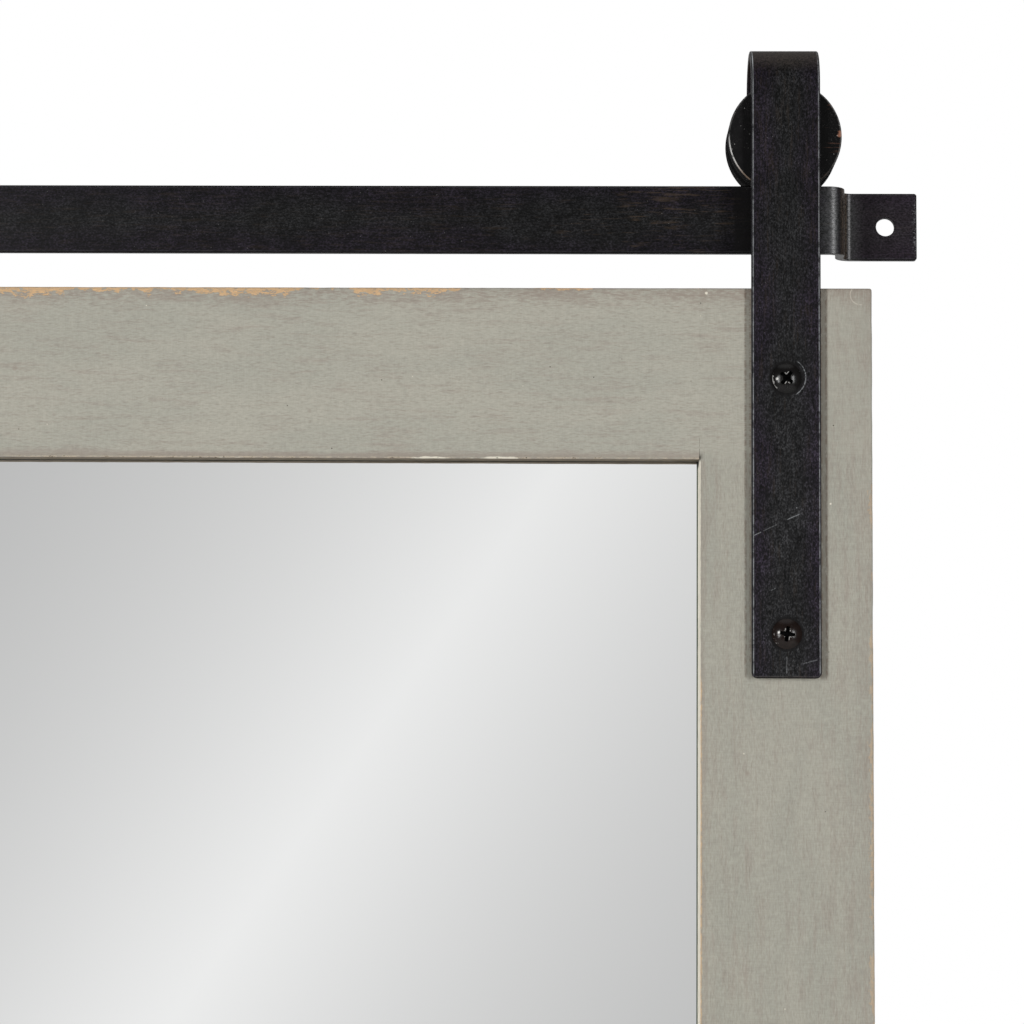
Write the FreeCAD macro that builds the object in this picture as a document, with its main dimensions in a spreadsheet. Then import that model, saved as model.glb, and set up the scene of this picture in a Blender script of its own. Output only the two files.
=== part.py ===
import FreeCAD, Part
import Sketcher
import os
import re

# Wall mirror that hangs from a flat steel rail. Two hooked straps, screwed to the wooden frame,
# carry grooved rollers that sit on the rail's top edge.
# Millimetres. X runs along the rail, Y goes into the wall and Z is up. The origin lies on the
# wall, midway between the rail's two screw holes.

doc = FreeCAD.newDocument("RailMirror")

# Driving dimensions: name, value, meaning.
sizes = [
    ("frame_width", 558.8, "outside width of the wooden frame"),
    ("frame_height", 762, "outside height of the wooden frame"),
    ("frame_thickness", 19, "thickness of the frame's boards"),
    ("member_width", 63.5, "face width of each board"),
    ("rabbet_width", 9, "ledge that the glass lies on"),
    ("arris", 0.8, "easing of the boards' front edges"),
    ("pane_thickness", 3, "mirror glass"),
    ("pane_play", 1, "gap round the glass and its board"),
    ("board_thickness", 3, "hardboard behind the glass"),
    ("dowel_diameter", 8, "corner dowels"),
    ("dowel_spacing", 30, "between the two dowels of a corner"),
    ("dowel_wall", 3.75, "wood between a dowel and the ledge"),
    ("dowel_screw_wall", 4.5, "wood between a dowel's end and a screw"),
    ("dowel_end_gap", 1, "glue room past each end of a dowel"),
    ("dowel_chamfer", 0.8, "lead-in at a dowel's ends"),
    ("glue_play", 0.05, "glue film round a dowel"),
    ("point_width", 8, "glazing point, along the wood"),
    ("point_thickness", 0.8, "glazing point, sheet steel"),
    ("point_bite", 6, "how far a point is driven in"),
    ("point_tail", 7, "how far it lies over the board"),
    ("point_nose", 4, "length of its tapered nose"),
    ("point_spacing", 220, "from one point to the next"),
    ("point_cover", 2.2, "wood behind a glazing point"),
    ("bar_width", 25.4, "flat bar of the rail and the straps"),
    ("bar_thickness", 3.2, "flat bar of the rail and the straps"),
    ("bend_radius", 3.4, "inside radius of the rail's bends"),
    ("wall_gap", 1.1, "strap's back leg to the wall"),
    ("web_inset", 8.4, "rail's end bend, inside the frame's edge"),
    ("tab_overhang", 19.5, "end of the rail, past the frame's edge"),
    ("hole_overhang", 7.7, "wall hole, past the frame's edge"),
    ("tab_corner", 1, "rounding of the rail's end corners"),
    ("wall_hole_diameter", 7, "hole for a wall screw"),
    ("rail_drop", 27.3, "rail's centre line to the frame's top"),
    ("strap_reach", 143.6, "strap's end, below the frame's top"),
    ("strap_corner", 2, "rounding of a strap's end corners"),
    ("loop_rise", 19.6, "axle to the centre of the strap's bend"),
    ("back_leg_drop", 13.5, "axle to the end of the strap's back leg"),
    ("roller_diameter", 42, "over the flanges"),
    ("roller_width", 21, "along the axle"),
    ("roller_chamfer", 0.6, "outer corners of the flanges"),
    ("groove_diameter", 33.2, "floor of the groove, on the rail"),
    ("groove_play", 0.6, "rail in the groove, on each side"),
    ("groove_flare", 0.6, "how much each groove wall leans out"),
    ("rolling_gap", 0.2, "under the groove's floor"),
    ("side_gap", 1, "beside the roller, for a washer"),
    ("bush_diameter", 13, "sleeve pressed into the roller"),
    ("axle_diameter", 8, "fixed axle in the strap"),
    ("axle_seat", 2, "blind seat in the strap's front leg"),
    ("axle_chamfer", 0.4, "ends of the axle"),
    ("running_play", 0.05, "sleeve on the axle, on the radius"),
    ("washer_diameter", 16, "thrust washers"),
    ("washer_thickness", 0.7, "thrust washers"),
    ("washer_play", 0.15, "washer on the axle, on the radius"),
    ("upper_screw_drop", 33.9, "frame's top to the upper strap screw"),
    ("lower_screw_rise", 16.1, "strap's end to the lower strap screw"),
    ("screw_head_diameter", 11, "round head"),
    ("screw_head_height", 2.8, "middle of the head"),
    ("screw_rim_height", 0.5, "edge of the head"),
    ("screw_diameter", 4.5, "shank"),
    ("screw_length", 17, "under the head"),
    ("screw_tip", 4, "pointed end"),
    ("screw_play", 0.25, "shank in the strap, on the radius"),
    ("pilot_end_gap", 1, "room past the screw's tip"),
    ("pilot_play", 0.05, "shank in the wood, on the radius"),
    ("recess_length", 5.6, "cross recess, tip to tip"),
    ("recess_width", 1.3, "cross recess, each slot"),
    ("recess_depth", 1.6, "cross recess"),
    ("bumper_diameter", 16, "pads between frame and wall"),
    ("bumper_rise", 40, "pads above the frame's bottom"),
    ("bumper_chamfer", 1, "edge of a pad on the wall"),
]
sheet = doc.addObject("Spreadsheet::Sheet", "Sizes")
for row, (alias, number, meaning) in enumerate(sizes, 1):
    sheet.set(f"A{row}", meaning)
    sheet.set(f"B{row}", str(number))
    sheet.setAlias(f"B{row}", alias)
doc.recompute()
aliases = {alias for alias, number, meaning in sizes}

# Places and sizes that follow from the driving dimensions.
places = {
    "leg_gap": "roller_width + 2 * side_gap",
    "strap_depth": "leg_gap + 2 * bar_thickness",
    "joggle_depth": "wall_gap + bar_thickness / 2 + leg_gap / 2",
    "rail_mid": "-(joggle_depth + bar_thickness / 2)",
    "frame_front": "rail_mid - leg_gap / 2",
    "strap_front": "frame_front - bar_thickness",
    "frame_back": "frame_front + frame_thickness",
    "frame_middle": "-(rail_drop + frame_height / 2)",
    "hanger_across": "(frame_width - member_width) / 2",
    "axle_height": "bar_width / 2 + rolling_gap + groove_diameter / 2",
    "bend_height": "axle_height + loop_rise",
    "rail_end": "frame_width / 2 + tab_overhang",
    "web_across": "frame_width / 2 - web_inset",
    "hole_across": "frame_width / 2 + hole_overhang",
    "sight_width": "frame_width - 2 * member_width",
    "sight_height": "frame_height - 2 * member_width",
    "rabbet_depth": "pane_thickness + board_thickness + point_thickness + point_cover",
    "lip_depth": "frame_thickness - rabbet_depth",
    "board_front": "lip_depth + pane_thickness",
    "points_front": "board_front + board_thickness",
    "rail_level": "(frame_height - member_width) / 2",
    "inner_dowel": "rabbet_width + dowel_wall + dowel_diameter / 2 - member_width / 2",
    "outer_dowel": "inner_dowel + dowel_spacing",
    "groove_width": "bar_thickness + 2 * groove_play",
    "upper_screw_height": "-(rail_drop + upper_screw_drop)",
    "screw_pitch": "strap_reach - upper_screw_drop - lower_screw_rise",
    "pilot_depth": "screw_length - bar_thickness + pilot_end_gap",
    "dowel_length": "member_width - screw_diameter - 2 * dowel_screw_wall",
    "dowel_hole_depth": "dowel_length / 2 + dowel_end_gap",
    "dowel_hole_diameter": "dowel_diameter + 2 * glue_play",
}
sides = (("left", -1), ("right", 1))
ends = (("top", 1), ("bottom", -1))
# Turn of each strap screw's cross, in degrees.
screw_turns = {"left_upper": 18, "left_lower": 62, "right_upper": 40, "right_lower": 8}
dowel_rows = ("inner_dowel", "outer_dowel")
# Glazing points along a stile and along a rail, in spacings from its middle.
stile_point_rows = (-1, 0, 1)
rail_point_rows = (-0.5, 0.5)
same_place = 0.001
quarter_turn = 90
nodes = []


def formula(text):
    # Spell out each place as its own formula and each size as its cell.
    def spell(match):
        word = match.group()
        if word in places:
            return "(" + formula(places[word]) + ")"
        return "Sizes." + word if word in aliases else word
    return re.sub(r"[a-z_]+", spell, text)


def value(text):
    return float(sheet.evalExpression(formula(text)))


def bind(thing, path, text):
    thing.setExpression(path, formula(text))


def new_body(name):
    body = doc.addObject("PartDesign::Body", name)
    body.Label = name
    nodes.append(body)
    return body


def origin_part(body, role):
    return next(part for part in body.Origin.OriginFeatures if part.Role == role)


def place(body, x, y, z, turn=0):
    # The turn is about the Y axis, in degrees.
    axis = FreeCAD.Vector(0, 1, 0)
    body.Placement = FreeCAD.Placement(FreeCAD.Vector(), FreeCAD.Rotation(axis, turn))
    for letter, text in zip("xyz", (x, y, z)):
        bind(body, f"Placement.Base.{letter}", text)


def new_sketch(body, name, role, offset="0"):
    # The offset moves the sketch along its plane's own normal.
    sketch = body.newObject("Sketcher::SketchObject", name)
    sketch.AttachmentSupport = [(origin_part(body, role), "")]
    sketch.MapMode = "FlatFace"
    bind(sketch, "AttachmentOffset.Base.z", offset)
    return sketch


def fix_point(sketch, item, end, x, y):
    for kind, text in (("DistanceX", x), ("DistanceY", y)):
        index = sketch.addConstraint(Sketcher.Constraint(kind, -1, 1, item, end, value(text)))
        bind(sketch, f"Constraints[{index}]", text)


def outline(sketch, corners):
    # Close a loop through the corners (x, y). A corner with two more entries starts an arc
    # through the point given third, whose centre lies on sketch axis -1 (X) or -2 (Y).
    points = [FreeCAD.Vector(value(corner[0]), value(corner[1]), 0) for corner in corners]
    runs = []
    for corner, here, following in zip(corners, points, points[1:] + points[:1]):
        if len(corner) == 2:
            runs.append((sketch.addGeometry(Part.LineSegment(here, following)), 1, 2))
            continue
        through = FreeCAD.Vector(value(corner[2][0]), value(corner[2][1]), 0)
        item = sketch.addGeometry(Part.Arc(here, through, following))
        first, last = (sketch.getPoint(item, end) for end in (1, 2))
        starts_here = first.distanceToPoint(here) < last.distanceToPoint(here)
        runs.append((item, 1, 2) if starts_here else (item, 2, 1))
        sketch.addConstraint(Sketcher.Constraint("PointOnObject", item, 3, corner[3]))
    for (item, start, end), (after, after_start, after_end) in zip(runs, runs[1:] + runs[:1]):
        sketch.addConstraint(Sketcher.Constraint("Coincident", item, end, after, after_start))
    for (item, start, end), corner in zip(runs, corners):
        fix_point(sketch, item, start, corner[0], corner[1])


def rectangle(sketch, x_low, x_high, y_low, y_high):
    outline(sketch, [(x_low, y_low), (x_high, y_low), (x_high, y_high), (x_low, y_high)])


def circle(sketch, x, y, diameter):
    centre = FreeCAD.Vector(value(x), value(y), 0)
    ring = Part.Circle(centre, FreeCAD.Vector(0, 0, 1), value(diameter) / 2)
    item = sketch.addGeometry(ring)
    fix_point(sketch, item, 3, x, y)
    index = sketch.addConstraint(Sketcher.Constraint("Diameter", item, value(diameter)))
    bind(sketch, f"Constraints[{index}]", diameter)


def pad(body, sketch, length, side_type="One side", turned_round=False):
    feature = body.newObject("PartDesign::Pad", "Pad")
    feature.Profile = sketch
    feature.SideType = side_type
    feature.Reversed = turned_round
    bind(feature, "Length", length)
    doc.recompute()
    return feature


def pocket(body, sketch, length, side_type="One side", turned_round=False, other_length=None):
    # A cut that takes nothing away is an error.
    before = body.Tip.Shape.Volume
    feature = body.newObject("PartDesign::Pocket", "Pocket")
    feature.Profile = sketch
    feature.SideType = side_type
    feature.Reversed = turned_round
    bind(feature, "Length", length)
    if other_length:
        bind(feature, "Length2", other_length)
    doc.recompute()
    if feature.Shape.Volume >= before:
        raise RuntimeError(body.Label + ": a pocket cuts nothing")
    return feature


def repeat_along(body, feature, axis_role, length, count):
    pattern = body.newObject("PartDesign::LinearPattern", "LinearPattern")
    pattern.Originals = [feature]
    pattern.Direction = (origin_part(body, axis_role), [""])
    pattern.Occurrences = count
    bind(pattern, "Length", length)
    body.Tip = pattern
    doc.recompute()


def ease(body, radius, chosen):
    # Round each edge whose middle passes the test.
    base = body.Tip
    edges = enumerate(base.Shape.Edges, 1)
    names = [f"Edge{number}" for number, edge in edges if chosen(edge.CenterOfMass)]
    if not names:
        raise RuntimeError(body.Label + ": no edge to round")
    fillet = body.newObject("PartDesign::Fillet", "Fillet")
    fillet.Base = (base, names)
    bind(fillet, "Radius", radius)
    doc.recompute()


def near(number, text):
    return abs(number - value(text)) < same_place


def turned(name, corners):
    # Spin an outline of (radius, distance along the axis) about the body's Y axis.
    body = new_body(name)
    sketch = new_sketch(body, "Section", "XY_Plane")
    outline(sketch, corners)
    spin = body.newObject("PartDesign::Revolution", "Revolution")
    spin.Profile = sketch
    spin.ReferenceAxis = (sketch, ["V_Axis"])
    doc.recompute()
    return body


def ring(name, inner, outer, low, high):
    return turned(name, [(inner, low), (outer, low), (outer, high), (inner, high)])


def make_wall_rail():
    # Flat bar with a stepped bend near each end, so that both end tabs lie on the wall.
    body = new_body("wall_rail")
    sketch = new_sketch(body, "Bar", "XY_Plane")
    bar_front = "-(joggle_depth + bar_thickness)"
    web_inside = "web_across - bar_thickness"
    half = [
        (web_inside, "-joggle_depth"),
        (web_inside, "0"),
        ("rail_end", "0"),
        ("rail_end", "-bar_thickness"),
        ("web_across", "-bar_thickness"),
        ("web_across", bar_front),
    ]
    outline(sketch, half + [(f"-({x})", y) for x, y in reversed(half)])
    pad(body, sketch, "bar_width", "Symmetric")
    ease(body, "bend_radius", lambda p: (near(abs(p.x), web_inside) and near(p.y, "-joggle_depth"))
         or (near(abs(p.x), "web_across") and near(p.y, "-bar_thickness")))
    ease(body, "bend_radius + bar_thickness", lambda p: (near(abs(p.x), web_inside) and near(p.y, "0"))
         or (near(abs(p.x), "web_across") and near(p.y, bar_front)))
    ease(body, "tab_corner", lambda p: near(abs(p.x), "rail_end") and near(abs(p.z), "bar_width / 2"))
    holes = new_sketch(body, "WallHoles", "XZ_Plane")
    for side, sign in sides:
        circle(holes, f"{sign} * hole_across", "0", "wall_hole_diameter")
    pocket(body, holes, "2 * joggle_depth", "Symmetric")


def make_strap(side, sign):
    # Flat bar hooked over the roller: a long front leg on the frame and a short leg behind.
    body = new_body(f"{side}_strap")
    sketch = new_sketch(body, "Hook", "YZ_Plane")
    inner = "leg_gap / 2"
    outer = "leg_gap / 2 + bar_thickness"
    front_end = "-(bend_height + rail_drop + strap_reach)"
    back_end = "-(loop_rise + back_leg_drop)"
    outline(sketch, [
        (f"-({outer})", front_end),
        (f"-({inner})", front_end),
        (f"-({inner})", "0", ("0", inner), -1),
        (inner, "0"),
        (inner, back_end),
        (outer, back_end),
        (outer, "0", ("0", outer), -1),
        (f"-({outer})", "0"),
    ])
    pad(body, sketch, "bar_width", "Symmetric")
    ease(body, "strap_corner", lambda p: near(abs(p.x), "bar_width / 2")
         and (near(p.z, front_end) or near(p.z, back_end)))
    screws = new_sketch(body, "ScrewHoles", "XZ_Plane")
    for drop in ("0", "screw_pitch"):
        height = f"upper_screw_height - {drop} - bend_height"
        circle(screws, "0", height, "screw_diameter + 2 * screw_play")
    pocket(body, screws, "2 * strap_depth", "Symmetric")
    # The axle's seat is blind in front, so the strap's face stays whole.
    seats = new_sketch(body, "AxleSeats", "XZ_Plane")
    circle(seats, "0", "-loop_rise", "axle_diameter")
    pocket(body, seats, "strap_depth", "Two sides", other_length="leg_gap / 2 + axle_seat")
    place(body, f"{sign} * hanger_across", "rail_mid", "bend_height")


def make_roller_set(side, sign):
    half = "roller_width / 2"
    rim = "roller_diameter / 2"
    flank = [
        ("bush_diameter / 2", half),
        (f"{rim} - roller_chamfer", half),
        (rim, f"{half} - roller_chamfer"),
        (rim, "groove_width / 2 + groove_flare"),
        ("groove_diameter / 2", "groove_width / 2"),
    ]
    roller = turned(f"{side}_roller", flank + [(x, f"-({y})") for x, y in reversed(flank)])
    bore = "axle_diameter / 2 + running_play"
    bush = ring(f"{side}_roller_bush", bore, "bush_diameter / 2", f"-{half}", half)
    front = "-(leg_gap / 2 + axle_seat)"
    back = "leg_gap / 2 + bar_thickness"
    axle_radius = "axle_diameter / 2"
    axle = turned(f"{side}_axle", [
        ("0", front),
        (f"{axle_radius} - axle_chamfer", front),
        (axle_radius, f"{front} + axle_chamfer"),
        (axle_radius, f"{back} - axle_chamfer"),
        (f"{axle_radius} - axle_chamfer", back),
        ("0", back),
    ])
    hole = "axle_diameter / 2 + washer_play"
    washers = []
    for name, low in (("front", "-leg_gap / 2"), ("rear", "leg_gap / 2 - washer_thickness")):
        high = f"{low} + washer_thickness"
        washers.append(ring(f"{side}_{name}_washer", hole, "washer_diameter / 2", low, high))
    for body in [roller, bush, axle] + washers:
        place(body, f"{sign} * hanger_across", "rail_mid", "axle_height")


def make_strap_screw(side, sign, level, drop):
    # Round head wood screw with a cross recess. The head's underside is on the strap's face.
    name = f"{side}_{level}"
    head = "screw_head_diameter / 2"
    shank = "screw_diameter / 2"
    # A point of the dome between its middle and the rim, on the arc's own circle.
    crown = "screw_head_height - screw_rim_height"
    dome = f"(({head})^2 + ({crown})^2) / (2 * ({crown}))"
    way = ("screw_head_diameter / 4", f"{dome} - screw_head_height - sqrt(({dome})^2 - ({head})^2 / 4)")
    body = turned(f"{name}_screw", [
        ("0", "-screw_head_height", way, -2),
        (head, "-screw_rim_height"),
        (head, "0"),
        (shank, "0"),
        (shank, "screw_length - screw_tip"),
        ("0", "screw_length"),
    ])
    slot = new_sketch(body, "Slot", "XZ_Plane", "screw_head_height")
    rectangle(slot, "-recess_length / 2", "recess_length / 2", "-recess_width / 2", "recess_width / 2")
    cut = pocket(body, slot, "recess_depth")
    cross = body.newObject("PartDesign::PolarPattern", "PolarPattern")
    cross.Originals = [cut]
    cross.Axis = (origin_part(body, "Y_Axis"), [""])
    cross.Angle = quarter_turn
    cross.Occurrences = 2
    body.Tip = cross
    doc.recompute()
    height = f"upper_screw_height - {drop}"
    place(body, f"{sign} * hanger_across", "strap_front", height, screw_turns[name])


def make_stile(side, sign):
    # Full-height upright. Its ledge for the glass stops short of both ends.
    body = new_body(f"{side}_stile")
    board = new_sketch(body, "Board", "XZ_Plane")
    rectangle(board, "-member_width / 2", "member_width / 2", "-frame_height / 2", "frame_height / 2")
    pad(body, board, "frame_thickness", turned_round=True)
    inner = f"-{sign} * member_width / 2"
    outer = f"{sign} * member_width / 2"
    wall = f"{inner} + {sign} * rabbet_width"
    ease(body, "arris", lambda p: near(p.y, "0")
         and (near(p.x, outer) or near(abs(p.z), "frame_height / 2")))
    # The inner edge is eased only along the opening, so the butt joints stay closed.
    edge = new_sketch(body, "InnerArris", "XY_Plane")
    outline(edge, [(inner, "0"), (f"{inner} + {sign} * arris", "0"), (inner, "arris")])
    pocket(body, edge, "sight_height", "Symmetric")
    ledge = new_sketch(body, "Ledge", "XZ_Plane", "-lip_depth")
    ledge_end = "sight_height / 2 + rabbet_width"
    rectangle(ledge, inner, wall, f"-({ledge_end})", ledge_end)
    pocket(body, ledge, "frame_thickness")
    joints = new_sketch(body, "DowelHoles", "YZ_Plane", inner)
    for end, up in ends:
        for row in dowel_rows:
            circle(joints, "frame_thickness / 2", f"{up} * (rail_level + {row})", "dowel_hole_diameter")
    pocket(body, joints, "dowel_hole_depth", turned_round=sign > 0)
    pilots = new_sketch(body, "PilotHoles", "XZ_Plane")
    for drop in ("0", "screw_pitch"):
        height = f"upper_screw_height - {drop} - frame_middle"
        circle(pilots, "0", height, "screw_diameter + 2 * pilot_play")
    pocket(body, pilots, "pilot_depth")
    slots = new_sketch(body, "PointSlots", "XZ_Plane", "-points_front")
    low = f"{stile_point_rows[0]} * point_spacing - point_width / 2"
    rectangle(slots, wall, f"{wall} + {sign} * point_bite", low, f"{low} + point_width")
    cut = pocket(body, slots, "point_thickness")
    reach = f"{stile_point_rows[-1] - stile_point_rows[0]} * point_spacing"
    repeat_along(body, cut, "Z_Axis", reach, len(stile_point_rows))
    place(body, f"{sign} * hanger_across", "frame_front", "frame_middle")


def make_frame_rail(end, up):
    # Crosspiece between the stiles, with a ledge for the glass along its inner edge.
    body = new_body(f"{end}_rail")
    section = new_sketch(body, "Section", "YZ_Plane")
    inner = f"-{up} * member_width / 2"
    outer = f"{up} * member_width / 2"
    wall = f"{inner} + {up} * rabbet_width"
    outline(section, [
        ("0", inner),
        ("lip_depth", inner),
        ("lip_depth", wall),
        ("frame_thickness", wall),
        ("frame_thickness", outer),
        ("0", outer),
    ])
    pad(body, section, "sight_width", "Symmetric")
    ease(body, "arris", lambda p: near(p.y, "0") and near(p.z, inner))
    ease(body, "arris", lambda p: near(p.y, "0") and near(p.z, outer))
    joints = new_sketch(body, "DowelHoles", "YZ_Plane", "sight_width / 2")
    for row in dowel_rows:
        circle(joints, "frame_thickness / 2", f"{up} * {row}", "dowel_hole_diameter")
    cut = pocket(body, joints, "dowel_hole_depth")
    other_end = body.newObject("PartDesign::Mirrored", "Mirrored")
    other_end.Originals = [cut]
    other_end.MirrorPlane = (origin_part(body, "YZ_Plane"), [""])
    body.Tip = other_end
    doc.recompute()
    slots = new_sketch(body, "PointSlots", "XZ_Plane", "-points_front")
    low = f"{rail_point_rows[0]} * point_spacing - point_width / 2"
    rectangle(slots, low, f"{low} + point_width", wall, f"{wall} + {up} * point_bite")
    cut = pocket(body, slots, "point_thickness")
    reach = f"{rail_point_rows[-1] - rail_point_rows[0]} * point_spacing"
    repeat_along(body, cut, "X_Axis", reach, len(rail_point_rows))
    place(body, "0", "frame_front", f"frame_middle + {up} * rail_level")


def make_dowel(end, up, side, sign, position, row):
    # Half in the stile, half in the rail. Turned along Y, then laid over along X.
    radius = "dowel_diameter / 2"
    half = "dowel_length / 2"
    body = turned(f"{end}_{side}_{position}_dowel", [
        ("0", f"-{half}"),
        (f"{radius} - dowel_chamfer", f"-{half}"),
        (radius, f"-{half} + dowel_chamfer"),
        (radius, f"{half} - dowel_chamfer"),
        (f"{radius} - dowel_chamfer", half),
        ("0", half),
    ])
    height = f"frame_middle + {up} * (rail_level + {row})"
    place(body, f"{sign} * sight_width / 2", "frame_front + frame_thickness / 2", height)
    laid_over = FreeCAD.Rotation(FreeCAD.Vector(0, 0, 1), quarter_turn)
    body.Placement = FreeCAD.Placement(body.Placement.Base, laid_over)


def make_pane(name, front, thickness):
    body = new_body(name)
    sketch = new_sketch(body, "Sheet", "XZ_Plane")
    half_width = "sight_width / 2 + rabbet_width - pane_play"
    half_height = "sight_height / 2 + rabbet_width - pane_play"
    rectangle(sketch, f"-({half_width})", half_width, f"-({half_height})", half_height)
    pad(body, sketch, thickness, turned_round=True)
    place(body, "0", f"frame_front + {front}", "frame_middle")


def make_glazing_point(name, x, z, turn):
    # Flat steel point, driven into the wood behind the board. It points along its own +X.
    body = new_body(name)
    sketch = new_sketch(body, "Blank", "XZ_Plane")
    outline(sketch, [
        ("-point_tail", "-point_width / 2"),
        ("point_bite - point_nose", "-point_width / 2"),
        ("point_bite", "0"),
        ("point_bite - point_nose", "point_width / 2"),
        ("-point_tail", "point_width / 2"),
    ])
    pad(body, sketch, "point_thickness", turned_round=True)
    place(body, x, "frame_front + points_front", z, turn)


def make_bumper(side, sign):
    # Rubber pad that fills the gap between the frame's back and the wall.
    radius = "bumper_diameter / 2"
    body = turned(f"{side}_bumper", [
        ("0", "0"),
        (radius, "0"),
        (radius, "-frame_back - bumper_chamfer"),
        (f"{radius} - bumper_chamfer", "-frame_back"),
        ("0", "-frame_back"),
    ])
    height = "frame_middle - frame_height / 2 + bumper_rise"
    place(body, f"{sign} * hanger_across", "frame_back", height)


make_wall_rail()
for side, sign in sides:
    make_strap(side, sign)
    make_roller_set(side, sign)
    make_strap_screw(side, sign, "upper", "0")
    make_strap_screw(side, sign, "lower", "screw_pitch")
    make_stile(side, sign)
    make_bumper(side, sign)
for end, up in ends:
    make_frame_rail(end, up)
    for side, sign in sides:
        # A bottom corner's inner dowel is its upper one.
        for position, row in zip(("lower", "upper"), dowel_rows[::up]):
            make_dowel(end, up, side, sign, position, row)
make_pane("mirror_pane", "lip_depth", "pane_thickness")
make_pane("backing_board", "board_front", "board_thickness")
for side, sign in sides:
    across = f"{sign} * (sight_width / 2 + rabbet_width)"
    for number, row in enumerate(stile_point_rows, 1):
        height = f"frame_middle + {row} * point_spacing"
        make_glazing_point(f"{side}_glazing_point_{number}", across, height, quarter_turn * (1 - sign))
for end, up in ends:
    height = f"frame_middle + {up} * (sight_height / 2 + rabbet_width)"
    for number, row in enumerate(rail_point_rows, 1):
        across = f"{row} * point_spacing"
        make_glazing_point(f"{end}_glazing_point_{number}", across, height, -quarter_turn * up)

doc.recompute()
for thing in doc.Objects:
    if "Invalid" in thing.State or "Error" in thing.State:
        raise RuntimeError(f"{thing.Label} failed: {thing.State}")
for node in nodes:
    if node.Shape.isNull() or not node.Shape.isValid():
        raise RuntimeError(f"{node.Label} has no valid shape")

os.makedirs("parts", exist_ok=True)
for node in nodes:
    node.Shape.exportStep(f"parts/{node.Label}.step")
print(len(nodes), "nodes written")
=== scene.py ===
import bpy
import bmesh
import math
from mathutils import Matrix, Vector, noise


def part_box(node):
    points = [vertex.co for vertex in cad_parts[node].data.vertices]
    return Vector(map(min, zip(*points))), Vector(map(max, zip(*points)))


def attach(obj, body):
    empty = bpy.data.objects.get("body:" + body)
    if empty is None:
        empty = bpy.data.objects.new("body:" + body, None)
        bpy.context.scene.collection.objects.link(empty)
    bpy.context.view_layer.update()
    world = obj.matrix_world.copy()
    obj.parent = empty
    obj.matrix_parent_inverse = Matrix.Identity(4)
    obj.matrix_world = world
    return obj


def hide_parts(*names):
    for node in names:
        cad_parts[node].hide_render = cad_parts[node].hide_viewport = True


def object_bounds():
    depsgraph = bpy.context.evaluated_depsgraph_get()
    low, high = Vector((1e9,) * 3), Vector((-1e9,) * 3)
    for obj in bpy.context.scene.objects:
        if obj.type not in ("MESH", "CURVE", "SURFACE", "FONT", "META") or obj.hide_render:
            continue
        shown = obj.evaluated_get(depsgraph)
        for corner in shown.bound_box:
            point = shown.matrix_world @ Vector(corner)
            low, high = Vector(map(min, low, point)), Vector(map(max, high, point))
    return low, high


# Framed wall mirror on a flat steel rail: worn paint, blackened steel and plain glass.
# Shapes are drawn in millimetres in the CAD's own frame and scaled to metres at the end.
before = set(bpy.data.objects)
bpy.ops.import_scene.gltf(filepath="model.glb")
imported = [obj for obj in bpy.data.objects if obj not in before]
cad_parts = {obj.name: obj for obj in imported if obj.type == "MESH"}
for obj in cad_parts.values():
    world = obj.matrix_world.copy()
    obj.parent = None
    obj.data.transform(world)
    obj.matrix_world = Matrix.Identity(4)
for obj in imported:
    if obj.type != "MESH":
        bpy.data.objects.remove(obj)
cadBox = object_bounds()
scene = bpy.context.scene
mm = 0.001
touch = 0.02  # in millimetres: points this near count as on the line
weld = 0.001  # and points this near are joined
print("frame loaded:", len(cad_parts), "nodes")


def sums(operation, swapped=False):  # a sign between two values, as a Math node
    def method(self, other):
        pair = (other, self) if swapped else (self, other)
        return self.sum(operation, *pair)

    return method


class Wire:
    # One socket of a shader tree, to reckon with.
    def __init__(self, tree, socket):
        self.tree = tree
        self.socket = socket

    def node(self, kind, settings, inputs, output=0):
        made = self.tree.nodes.new(kind)
        for name, setting in settings.items():
            setattr(made, name, setting)
        for key, given in inputs.items():
            if isinstance(given, Wire):
                self.tree.links.new(given.socket, made.inputs[key])
            else:
                made.inputs[key].default_value = given
        return Wire(self.tree, made.outputs[output])

    def sum(self, operation, *given):
        return self.node("ShaderNodeMath", {"operation": operation}, dict(enumerate(given)))

    __add__, __radd__ = sums("ADD"), sums("ADD", True)
    __sub__, __rsub__ = sums("SUBTRACT"), sums("SUBTRACT", True)
    __mul__, __rmul__ = sums("MULTIPLY"), sums("MULTIPLY", True)
    __truediv__, __rtruediv__ = sums("DIVIDE"), sums("DIVIDE", True)
    __pow__ = sums("POWER")

    def __abs__(self):
        return self.sum("ABSOLUTE", self)


def least(first, second):
    return first.sum("MINIMUM", first, second)


def most(first, second):
    return first.sum("MAXIMUM", first, second)


def rise(value, low, high):  # 0 below low, 1 above high, smooth between; falls if low is the higher
    limits = {"Value": value, "From Min": low, "From Max": high}
    return value.node("ShaderNodeMapRange", {"interpolation_type": "SMOOTHSTEP"}, limits)


def within(value, far, full):  # 1 nearer to zero than full, 0 past far, both in millimetres
    return rise(abs(value), far * mm, full * mm)


def reach(first, second):  # length of the two sides' diagonal
    return (first * first + second * second) ** 0.5


def mix(mask, first, second):  # colours: the first where the mask is 0, the second where it is 1
    ends = [c if isinstance(c, Wire) else (*c, 1) for c in (first, second)]
    return mask.node("ShaderNodeMix", {"data_type": "RGBA"}, {0: mask, 6: ends[0], 7: ends[1]}, 2)


def tone(colour, amount):  # a colour times a number
    inputs = {0: 1.0, 6: colour if isinstance(colour, Wire) else (*colour, 1), 7: amount}
    settings = {"data_type": "RGBA", "blend_type": "MULTIPLY"}
    return amount.node("ShaderNodeMix", settings, inputs, 2)


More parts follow.
